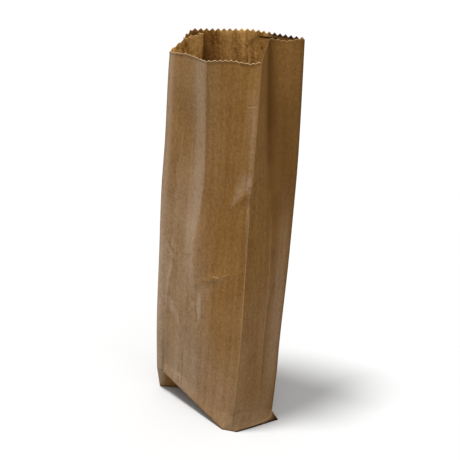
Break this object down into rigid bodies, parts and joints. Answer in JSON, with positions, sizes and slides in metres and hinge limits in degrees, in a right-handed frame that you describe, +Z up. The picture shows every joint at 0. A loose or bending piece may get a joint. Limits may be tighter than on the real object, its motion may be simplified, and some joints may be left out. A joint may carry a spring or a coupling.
{
  "type": "paper bottle bag",
  "caption": "Tall kraft paper bottle bag, standing open: gusseted tube with a zigzag cut mouth, glued back lap and folded flat base.",
  "frame": {"origin": "middle of the base, on the surface the bag stands on", "axes": "+Z up out of the mouth, -Y towards the front panel, +X towards the right gusset"},
  "size_m": [0.1253, 0.0942, 0.4208],
  "materials": {
    "kraft_paper": "uncoated brown kraft, machine finished, with a soft sheen"
  },
  "bodies": {
    "root": {"paper_bag": "kraft_paper"}
  },
  "joints": []
}
